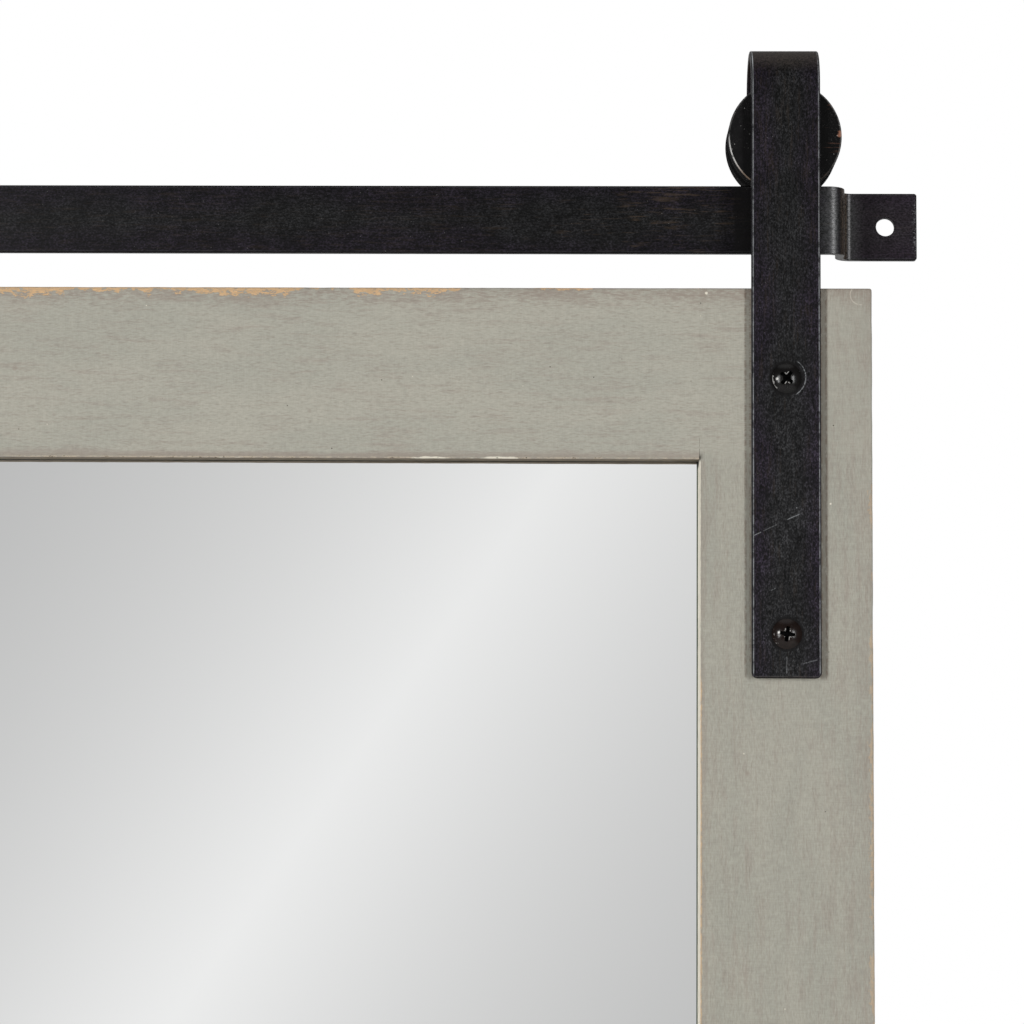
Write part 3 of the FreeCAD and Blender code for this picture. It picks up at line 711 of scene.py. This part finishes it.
def makeRail():
    low, high = corners("wall_rail")
    thick, bend, webOut = rail["thickness"], rail["bend"], rail["webOut"]
    bendStart, bendEnd = webOut - thick - bend, webOut + bend
    bm = bmesh.new()
    end = bm.edges.new([bm.verts.new((0, y, low.z)) for y in (low.y, low.y + thick)])
    end = runBar(bm, end, (bendStart, 0, 0))
    end = bendBar(bm, end, (bendStart, low.y + thick + bend, low.z), (0, 0, 1), 90, rail["bendSteps"])
    end = runBar(bm, end, (0, -low.y - 2 * thick - 2 * bend, 0))
    end = bendBar(bm, end, (bendEnd, -thick - bend, low.z), (0, 0, 1), -90, rail["bendSteps"])
    runBar(bm, end, (high.x - bendEnd, 0, 0))
    bmesh.ops.mirror(bm, geom=[*bm.verts, *bm.edges, *bm.faces], axis="X", merge_dist=weld)
    thicken(bm, (0, 0, high.z - low.z))
    ends = [edge for edge in [*onPlane(bm.edges, 0, low.x), *onPlane(bm.edges, 0, high.x)]
            if span(edge, 2) < touch]
    roundEdges(bm, ends, rail["tabCorner"], 5)
    roundEdges(bm, sharpEdges(bm, 50), rail["ease"], 3)

    def arris(x, y, z):
        out = rise(abs(x), (webOut - 1) * mm, (webOut + 1) * mm)
        deep = y - low.y * mm * (1 - out) + thick * mm * out
        return least(reach(high.z * mm - abs(z), deep), reach(high.x * mm - abs(x), deep))

    def turned(x):  # how far round the outer bend
        return (abs(x) - bendStart * mm) / ((thick + bend) * mm)

    def bendMark(x, y, z, fine, brushed):  # rubbed bright where it bends, with a painted highlight on the outer bend
        outside = rise(y, (low.y + thick + bend) * mm, (low.y + thick) * mm)
        turn = turned(x)
        return 0.10 * outside * rise(turn, -1.2, 0.35) * rise(turn, 0.62, 0.40) * (0.4 + rise(fine, 0.3, 0.7))

    def bendGloss(x, y, z, fine, brushed):
        inBends = rise(turned(x), -0.5, 0.2) * rise(abs(x), (webOut + 9) * mm, (webOut + 3) * mm)
        return inBends * (0.5 + rise(fine, 0.3, 0.7))

    def waxMark(x, y, z, fine, brushed):  # wax left between the two bends
        out = abs(x) - webOut * mm
        hollow = rise(out, -2.6 * mm, -0.8 * mm) * rise(out, 2.1 * mm, 1.0 * mm)
        return 0.62 * hollow * rise(fine + 0.5 * (brushed - 0.5), 0.36, 0.60)

    def tabTint(x, y, z, fine, brushed):  # the tabs are more violet
        return 0.42 * rise(abs(x), (webOut + 2) * mm, (webOut + 7) * mm) * rise(fine, 0.25, 0.65)

    def strapShadowMark(x, y, z, fine, brushed):  # painted shadow of the strap and roller on the rail, under the rollers
        start, end = rail["shadowSpan"]
        return 0.85 * rise(abs(x), start * mm, (start + 1.5) * mm) * rise(abs(x), end * mm, (end - 3) * mm)

    def tabChip(x, y, z, fine, brushed):  # chips at the tab's end
        near = rise(high.x * mm - abs(x), 2.2 * mm, 0.6 * mm)
        return 0.32 * near * rise(fine, 0.50, 0.66) * within(abs(z) - 5 * mm, 6, 3)

    def depth(x, z):  # the tabs are a little lighter
        return 0.68 + 0.22 * rise(abs(x), (webOut + 1) * mm, (webOut + 5) * mm)

    def brown(x, z):  # most beside the straps
        return 0.14 + 0.36 * rise(abs(x), 0.13, 0.19) * rise(abs(x), 0.27, 0.25)

    smears = [(steel["wax"], waxMark), (steel["tab"], tabTint), (steel["dark"], strapShadowMark)]
    finish = steelFinish("rail_steel", "X", 0, high.z, depth, brown, arris, lambda x, z: 0.05,
                         [bendMark, tabChip], smears, bendGloss)
    piece = toPiece("rail_bar", bm, finish)
    radius, ease = rail["hole"], rail["holeEase"]
    outline = [(radius + 2 * ease, -thick - ease), (radius, -thick + ease), (radius, 1)]
    carve(piece, [rodCutter(side * rail["holeAcross"], 0, outline) for side in (-1, 1)])
    settle(piece, "wall_rail", "rail")


# Hook straps

strap = {
    "thickness": 3.2,
    "bendHeight": 49.1,
    "bendSteps": 40,
    "endCorner": 2.0,
    "ease": 0.6,
    "screwHole": 2.5,
    "axleHeight": 29.5,
    "axle": 4.0,
    "axleSeat": 2.0,
    "screwHeights": (-61.2, -154.8),
    "backLegEnd": 16.0,
    "arcRadius": 7.1,
    "ring": 5.9,
    # Long scratches on the right strap: start, end (x from the strap's middle, z) and strength.
    "scratches": (
        (-12.1, -119.0, -9.2, -117.6, 0.45),
        (-8.6, -117.3, -3.6, -114.9, 0.20),
        (-0.1, -113.2, 4.9, -111.0, 0.50),
        (3.4, -109.0, 3.9, -108.5, 0.6),
        (-5.8, -139.1, -3.9, -138.0, 0.22),
        (5.9, -165.5, 11.2, -164.1, 0.2),
        (0.0, -162.8, -0.1, -169.3, 0.22),
    ),
}


def makeStrap(side):
    low, high = corners(side + "_strap")
    thick, bendHeight = strap["thickness"], strap["bendHeight"]
    middle, across = (low.y + high.y) / 2, (low.x + high.x) / 2
    bm = bmesh.new()
    end = bm.edges.new([bm.verts.new((low.x, y, low.z)) for y in (low.y, low.y + thick)])
    end = runBar(bm, end, (0, 0, bendHeight - low.z))
    end = bendBar(bm, end, (low.x, middle, bendHeight), (1, 0, 0), -180, strap["bendSteps"])
    runBar(bm, end, (0, 0, strap["backLegEnd"] - bendHeight))
    thicken(bm, (high.x - low.x, 0, 0))
    ends = [edge for edge in [*onPlane(bm.edges, 2, low.z), *onPlane(bm.edges, 2, strap["backLegEnd"])]
            if span(edge, 1) > thick - touch]
    roundEdges(bm, ends, strap["endCorner"], 6)
    roundEdges(bm, sharpEdges(bm, 50), strap["ease"], 3)

    def arris(x, y, z):
        deep = (high.y - low.y) / 2 * mm - reach(y - middle * mm, most(z - bendHeight * mm, 0.0))
        return least(reach((high.x - across) * mm - abs(x - across * mm), deep), reach(z - low.z * mm, deep))

    def arcMark(x, y, z, fine, brushed):  # left by a slipped driver beside the upper screw
        dx, dz = x - across * mm, z - strap["screwHeights"][0] * mm
        ring = within(reach(dx, dz) - strap["arcRadius"] * mm - 0.05 * dz, 0.24, 0.08)
        return 0.6 * ring * rise(dx - 0.55 * abs(dz), 0.0, 0.8 * mm) * rise(fine, 0.36, 0.56)

    def lineMark(x0, z0, x1, z1, strength):
        way = Vector((x1 - x0, z1 - z0)).normalized()
        length = math.hypot(x1 - x0, z1 - z0) * mm

        def mark(x, y, z, fine, brushed):
            dx, dz = x - (across + x0) * mm, z - z0 * mm
            run = dx * way.x + dz * way.y
            line = within(dx * way.y - dz * way.x, 0.25, 0.08)
            ends = rise(run, 0.0, 0.4 * mm) * rise(run, length, length - 0.4 * mm)
            return strength * line * ends * rise(fine, 0.30, 0.52)

        return mark

    def headShadowRing(x, y, z, fine, brushed):  # painted shadow round the screw heads
        gap = least(*[reach(x - across * mm, z - height * mm) for height in strap["screwHeights"]])
        return 0.8 * within(gap - strap["ring"] * mm, 0.7, 0.3)

    def footRust(x, y, z, fine, brushed):
        return 0.5 * rise(z, (low.z + 1.0) * mm, (low.z + 0.4) * mm) * rise(fine, 0.40, 0.62)

    def loopTopRubAndSheen(x, y, z, fine, brushed):  # the top is rubbed brown, and lighter as a painted reflection
        return 0.60 * rise(z, 52 * mm, 62 * mm) * rise(fine, 0.30, 0.62)

    def rubAndSheen(x, z):  # rubbed metal at the edges, brightest on the left edge and loop as painted highlight, the foot least
        leftSide = rise(x, (across + 1) * mm, (across - 1) * mm)
        loop = 1.1 * rise(z, 36 * mm, 50 * mm)
        foot = 0.10 + 0.90 * rise(z, (low.z + 1.2) * mm, (low.z + 2.4) * mm)
        return (0.80 + (0.20 + loop) * leftSide) * foot

    def depth(x, z):  # lighter towards the foot
        return 0.93 + 0.34 * rise(z, 20 * mm, -140 * mm)

    marks = [arcMark] + [lineMark(*line) for line in strap["scratches"]] if side == "right" else []
    smears = [(steel["dark"], headShadowRing), (steel["brown"], loopTopRubAndSheen), (steel["brown"], footRust)]
    finish = steelFinish(side + "_strap_steel", "Z", across, high.x - across, depth, lambda x, z: 0.16, arris,
                         rubAndSheen, marks, smears)
    piece = toPiece(side + "_hook_strap", bm, finish)
    frontBack, seat = low.y + thick, low.y + thick - strap["axleSeat"]
    holes = [(height, strap["screwHole"], low.y - 1, frontBack + 1) for height in strap["screwHeights"]]
    holes.append((strap["axleHeight"], strap["axle"], seat, frontBack + 1))
    holes.append((strap["axleHeight"], strap["axle"], high.y - thick - 1, high.y + 1))
    carve(piece, [rodCutter(across, height, [(radius, start), (radius, end)])
                  for height, radius, start, end in holes])
    settle(piece, side + "_strap", "mirror")


# Grooved rollers

roller = {
    "black": (0.0056, 0.0053, 0.0056),
    "grit": (0.060, 0.058, 0.058),
    "scuff": (0.095, 0.045, 0.030),
    "chip": (0.300, 0.135, 0.085),
    "dust": (0.340, 0.330, 0.315),
    "line": (0.700, 0.690, 0.670),  # painted highlight along the front rim, browner low down
    "rimHighlightLow": (0.260, 0.190, 0.140),
    "bore": 6.5,
    "groove": 16.6,
    "grooveHalf": 2.2,
    "flare": 0.6,
    "rimEase": 0.5,
    "grooveEase": 0.35,
    "steps": 144,
}


def makeRoller(side):
    low, high = corners(side + "_roller")
    centre = (low + high) / 2
    rim, half = (high.x - low.x) / 2, (high.y - low.y) / 2
    lip = roller["grooveHalf"] + roller["flare"]
    rear = [(roller["bore"], half), (rim, half), (rim, lip), (roller["groove"], roller["grooveHalf"])]
    bm = bmesh.new()
    loop = [bm.verts.new((r, y, 0)) for r, y in rear + [(r, -y) for r, y in reversed(rear)]]
    for pair in zip(loop, loop[1:] + loop[:1]):
        bm.edges.new(pair)
    turnRound(bm, (0, 0, 0), roller["steps"])
    bmesh.ops.remove_doubles(bm, verts=bm.verts, dist=weld)
    bmesh.ops.recalc_face_normals(bm, faces=bm.faces)

    def circles(radius, place):
        return [edge for edge in bm.edges if all(abs(math.hypot(v.co.x, v.co.z) - radius) < touch
                                                 and abs(abs(v.co.y) - place) < touch for v in edge.verts)]

    roundEdges(bm, circles(rim, half), roller["rimEase"], 4)
    roundEdges(bm, circles(rim, lip), roller["grooveEase"], 2)
    bmesh.ops.translate(bm, vec=centre, verts=bm.verts)
    piece = toPiece(side + "_grooved_roller", bm, rollerFinish(side + "_roller_black", low, high))
    settle(piece, side + "_roller", side + "_wheel")


# Strap screws

screw = {
    "head": 5.5,
    "headHeight": 2.8,
    "rimHeight": 0.5,
    "shank": 2.25,
    "length": 17.0,
    "tip": 4.0,
    "slotLength": 7.4,
    "slotWidth": 1.5,
    "slotDepth": 1.9,
    "taper": (0.62, 1, 0.72),
    "hub": 2.2,
    "hubTip": 0.77,
    "rimEase": 0.25,
    "turns": {"left_upper": 18, "left_lower": 62, "right_upper": 40, "right_lower": 8},
    "tints": {"upper": (0.0048, 0.0042, 0.0040), "lower": (0.0105, 0.0058, 0.0044)},
    "glints": {"upper": (-3.5, -0.4), "lower": (-3.0, 0.5)},
    "recess": (0.0012, 0.0012, 0.0012),
    "bare": (0.50, 0.49, 0.47),
    "domeSteps": 12,
    "steps": 64,
}


def crossCutters(place, turn):
    cutters = []
    for quarter in (0, 90):
        bm = bmesh.new()
        size = (screw["slotLength"], 2 * screw["slotDepth"], screw["slotWidth"], 1)
        bmesh.ops.create_cube(bm, size=1, matrix=Matrix.Diagonal(size))
        floor = [v for v in bm.verts if v.co.y > 0]
        bmesh.ops.scale(bm, vec=screw["taper"], verts=floor)
        spin = Matrix.Rotation(math.radians(turn + quarter), 4, "Y")
        bmesh.ops.transform(bm, matrix=Matrix.Translation(place) @ spin, verts=bm.verts)
        cutters.append(toPiece("cutter", bm))
    bm = bmesh.new()
    stand = Matrix.Translation(place) @ Matrix.Rotation(math.radians(90), 4, "X")
    bmesh.ops.create_cone(bm, cap_ends=True, segments=24, radius1=screw["hubTip"], radius2=screw["hub"],
                          depth=2 * screw["slotDepth"] + 0.5, matrix=stand)
    cutters.append(toPiece("cutter", bm))
    return cutters


def makeScrew(name):
    low, high = corners(name + "_screw")
    across, height = (low.x + high.x) / 2, (low.z + high.z) / 2
    seat = low.y + screw["headHeight"]
    crown = screw["headHeight"] - screw["rimHeight"]
    dome = (screw["head"] ** 2 + crown ** 2) / (2 * crown)
    level, turn = name.split("_")[1], screw["turns"][name]
    finish = screwFinish(name + "_black", low.y, dome, across, height, turn, screw["tints"][level],
                         screw["glints"][level])
    bm = bmesh.new()
    tip = bm.verts.new((0, -screw["headHeight"], 0))
    arc = bmesh.ops.spin(bm, geom=[tip], cent=(0, dome - screw["headHeight"], 0), axis=(0, 0, 1),
                         angle=math.asin(screw["head"] / dome), steps=screw["domeSteps"])
    last = pick(arc["geom_last"], bmesh.types.BMVert)[0]
    ease, shank, length = screw["rimEase"], screw["shank"], screw["length"]
    for r, y in ((screw["head"], -ease), (screw["head"] - ease, 0), (shank, 0),
                 (shank, length - screw["tip"]), (0, length)):
        following = bm.verts.new((r, y, 0))
        bm.edges.new((last, following))
        last = following
    turnRound(bm, (0, 0, 0), screw["steps"])
    bmesh.ops.translate(bm, vec=(across, seat, height), verts=bm.verts)
    piece = toPiece(name + "_pan_screw", bm, finish)
    carve(piece, crossCutters((across, low.y, height), turn))
    settle(piece, name + "_screw", "mirror", sharpFrom=35)


# Frame boards

board = {
    "arris": 0.85,
    "innerArris": 0.5,
    "lip": 10.0,
    "ledge": 9.0,
    "past": 5.0,  # how far a cut runs out of the wood
    "step": 3.5,  # between the cross loops that carry the dents
    "band": 2.5,
    "corner": 0.8,
    "dent": 0.5,
    "dentFrom": 0.22,
    "dentWaves": 0.055,
    "dentReach": 1.3,
    "wander": 0.10,
    "wanderWaves": 0.31,
    "push": 0.7,
}


def dentEdges(bm, front, ways, length):
    # Push the arrises in a little, by noise along the board.
    # Each way is (axis across, place, direction inwards, from, to).
    far = board["dentReach"]
    for v in bm.verts:
        for axis, place, inward, start, end in ways:
            gap = abs(v.co[axis] - place)
            deep = v.co.y - front
            u = v.co[length]
            if gap > far or deep > far or not start < u < end:
                continue
            dent = noise.noise((u * board["dentWaves"], place, 3.0)) - board["dentFrom"]
            wander = noise.noise((u * board["wanderWaves"], place, 8.0)) + 0.6
            knock = max(0.0, dent) * board["dent"] + wander * board["wander"]
            v.co.y += knock * board["push"] * max(0.0, 1 - deep / far)
            v.co[axis] += inward * knock * board["push"] * max(0.0, 1 - gap / far)


def cutAlong(bm, axis, length):
    # Cross loops, a step apart, over all edges that run along most of this length.
    edges = [edge for edge in bm.edges if span(edge, axis) > length / 2]
    bmesh.ops.subdivide_edges(bm, edges=edges, cuts=int(length / board["step"]), use_grid_fill=True)


def makeFrameRail(end, finish):
    low, high = corners(end + "_rail")
    up = 1 if end == "top" else -1
    inner, outer = (low.z, high.z) if up > 0 else (high.z, low.z)
    ledge = inner + up * board["ledge"]
    lip = low.y + board["lip"]
    bm = bmesh.new()
    section = [(low.y, inner), (lip, inner), (lip, ledge), (high.y, ledge), (high.y, outer), (low.y, outer)]
    face = bm.faces.new([bm.verts.new((low.x, y, z)) for y, z in section])
    grown = bmesh.ops.extrude_face_region(bm, geom=[face])
    lift(bm, grown["geom"], (high.x - low.x, 0, 0))
    front = onPlane(bm.edges, 1, low.y)
    for z, size in ((outer, board["arris"]), (inner, board["innerArris"])):
        roundEdges(bm, onPlane(front, 2, z), size, 3)
    split(bm, 2, (inner + up * board["band"], outer - up * board["band"]))
    cutAlong(bm, 0, high.x - low.x)
    dentEdges(bm, low.y, [(2, inner, up, low.x - 1, high.x + 1), (2, outer, -up, low.x - 1, high.x + 1)], 0)
    piece = toPiece(end + "_board", bm, finish)
    settle(piece, end + "_rail", "mirror", sharpFrom=40)


def makeStile(side, finish):
    low, high = corners(side + "_stile")
    sign = 1 if side == "right" else -1
    inner, outer = (low.x, high.x) if sign > 0 else (high.x, low.x)
    width = high.x - low.x
    sightLow, sightHigh = low.z + width, high.z - width
    bm = newBlock(low, high)
    ends = [edge for edge in onPlane(bm.edges, 0, outer) if span(edge, 1) > touch]
    roundEdges(bm, ends, board["corner"], 3)
    front = onPlane(bm.edges, 1, low.y)
    roundEdges(bm, [edge for edge in front if any(abs(v.co.x - inner) > touch for v in edge.verts)],
               board["arris"], 3)
    split(bm, 2, (sightLow, sightHigh, low.z + board["band"], high.z - board["band"]))
    split(bm, 0, (inner + sign * board["band"], outer - sign * board["band"]))
    opening = [edge for edge in onPlane(onPlane(bm.edges, 1, low.y), 0, inner)
               if all(sightLow - touch < v.co.z < sightHigh + touch for v in edge.verts)]
    roundEdges(bm, opening, board["innerArris"], 3)
    cutAlong(bm, 2, sightHigh - sightLow)
    cutAlong(bm, 2, width)
    dentEdges(bm, low.y, [(0, outer, -sign, low.z - 1, high.z + 1), (0, inner, sign, sightLow, sightHigh)], 2)
    piece = toPiece(side + "_upright", bm, finish)
    start, end = sorted((inner - sign * board["past"], inner + sign * board["ledge"]))
    cutter = newBlock(Vector((start, low.y + board["lip"], sightLow - board["ledge"])),
                      Vector((end, high.y + board["past"], sightHigh + board["ledge"])))
    carve(piece, [toPiece("cutter", cutter)])
    settle(piece, side + "_stile", "mirror", sharpFrom=40)


# Mirror pane

pane = {"edgeEase": 0.3}


def makePane(finish):
    bm = newBlock(*corners("mirror_pane"))
    roundEdges(bm, bm.edges, pane["edgeEase"], 2)
    piece = toPiece("silvered_pane", bm, finish)
    settle(piece, "mirror_pane", "mirror", sharpFrom=20)


makeRail()
for side in ("left", "right"):
    makeStrap(side)
print("rail and straps made")

for side in ("left", "right"):
    makeRoller(side)
    for level in ("upper", "lower"):
        makeScrew(side + "_" + level)
print("rollers and screws made")

for end in ("top", "bottom"):
    makeFrameRail(end, paintBoard(end + "_rail"))
for side in ("left", "right"):
    makeStile(side, paintBoard(side + "_stile"))
makePane(mirrorFinish())
print("frame and pane made")

# The CAD nodes that keep their shape get a finish each.
kept = {
    "backing_board": fibreFinish("board_brown", (0.150, 0.085, 0.042), (320, 320, 320), 0.7),
    "_axle": turnedFinish("axle_steel", (0.42, 0.41, 0.39), 0.32, 1.0, 500),
    "_bush": turnedFinish("bush_bronze", (0.38, 0.22, 0.085), 0.38, 1.0, 500),
    "_washer": turnedFinish("washer_nylon", (0.55, 0.54, 0.50), 0.45, 0.0, 400),
    "_dowel": fibreFinish("dowel_wood", (0.52, 0.36, 0.20), (40, 900, 900), 0.65),
    "_glazing_point": turnedFinish("point_steel", (0.36, 0.36, 0.35), 0.40, 1.0, 350),
    "_bumper": turnedFinish("bumper_rubber", (0.022, 0.021, 0.020), 0.75, 0.0, 260),
}
for node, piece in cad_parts.items():
    for part, finish in kept.items():
        if part in node:
            piece.data.materials.clear()
            piece.data.materials.append(finish)
print("kept nodes finished")

# Floor, light and camera

studio = {
    "floorDrop": 0.30,
    "floorSize": 3.2,
    "lamps": ((-1, 40, 1.7), (1, 40, 1.7)),  # side, degrees from straight ahead, distance
    "lampAim": (0.20, 0.0, -0.10),
    "lampSize": (0.30, 1.0),
    "lampPower": 14.7,
    "ambient": 0.06,
    "behind": 0.35,  # soft glows from the wall's side and from above
    "behindFrom": (0.25, 0.85),
    "overhead": 0.65,
    "overheadFrom": (0.80, 0.95),
    "bandFoot": 0.142,  # the light that the glass shows: away from the band, and in it
    "bandPeak": 0.740,
    "bandWidth": 0.233,
    "bandFall": 1.195,
    "bandLean": 0.686,
    "bandShift": 0.073,
    "bandFade": 0.155,  # dimmer upwards
    "windowUp": (0.26, 0.12),  # where the band ends: up, aside and ahead
    "windowAside": (0.42, 0.22),
    "windowShift": 0.08,
    "windowAhead": (0.5, 0.7),
    "floor": (0.80, 0.80, 0.79),
}

bm = bmesh.new()
bmesh.ops.create_grid(bm, x_segments=8, y_segments=8, size=studio["floorSize"] / 2 / mm,
                      matrix=Matrix.Translation((0, 0, (cadBox[0].z - studio["floorDrop"]) / mm)))
floorFinish, floorShader, floorPlace = newFinish("floor_pale")
feed(floorShader, {
    "Base Color": tone(studio["floor"], 0.96 + 0.08 * cloud(floorPlace, (5, 5, 5))),
    "Roughness": 0.8,
})
floor = toPiece("floor", bm, floorFinish)

aim = Vector(studio["lampAim"])
for side, angle, distance in studio["lamps"]:
    lamp = bpy.data.lights.new("softbox", "AREA")
    lamp.shape = "RECTANGLE"
    lamp.size, lamp.size_y = studio["lampSize"]
    lamp.energy = studio["lampPower"]
    stand = bpy.data.objects.new("softbox", lamp)
    turn = math.radians(angle)
    stand.location = aim + distance * Vector((side * math.sin(turn), -math.cos(turn), 0))
    stand.rotation_euler = (aim - stand.location).to_track_quat("-Z", "Y").to_euler()
    scene.collection.objects.link(stand)

# White to the camera. In front there is a soft slanting band of light, which the glass shows.
world = bpy.data.worlds.new("studio")
world.use_nodes = True
scene.world = world
tree = world.node_tree
tree.nodes.clear()
look = Wire(tree, tree.nodes.new("ShaderNodeTexCoord").outputs["Generated"])
x, y, z = axes(look)
ahead = most(-1 * y, 0.05)
aside, upward = x / ahead, z / ahead
band = abs(aside - studio["bandLean"] * upward + studio["bandShift"]) / studio["bandWidth"]
level = studio["bandFoot"] + studio["bandPeak"] / (1 + band ** studio["bandFall"])
level = level * (1 - studio["bandFade"] * upward)
sideways = rise(abs(aside + studio["windowShift"]), *studio["windowAside"])
window = rise(abs(upward), *studio["windowUp"]) * sideways * rise(-1 * y, *studio["windowAhead"])
glow = studio["ambient"] + (level - studio["ambient"]) * window
glow = glow + studio["behind"] * rise(y, *studio["behindFrom"])
glow = glow + studio["overhead"] * rise(z, *studio["overheadFrom"])
seen = Wire(tree, tree.nodes.new("ShaderNodeLightPath").outputs["Is Camera Ray"])
sky = look.node("ShaderNodeBackground", {}, {"Color": (1, 1, 1, 1), "Strength": most(glow, seen)})
tree.links.new(sky.socket, tree.nodes.new("ShaderNodeOutputWorld").inputs["Surface"])

view = {
    "place": (0.17093, -1.05056, -0.19267),
    "turn": (94.593, -0.339, 1.291),
    "lens": 98.438,
    "sensor": 36.0,
}
camera = bpy.data.cameras.new("camera")
camera.lens = view["lens"]
camera.sensor_width = view["sensor"]
eye = bpy.data.objects.new("camera", camera)
eye.location = view["place"]
eye.rotation_euler = [math.radians(a) for a in view["turn"]]
scene.collection.objects.link(eye)
scene.camera = eye
scene.view_settings.view_transform = "Standard"
print("stage, light and camera made")
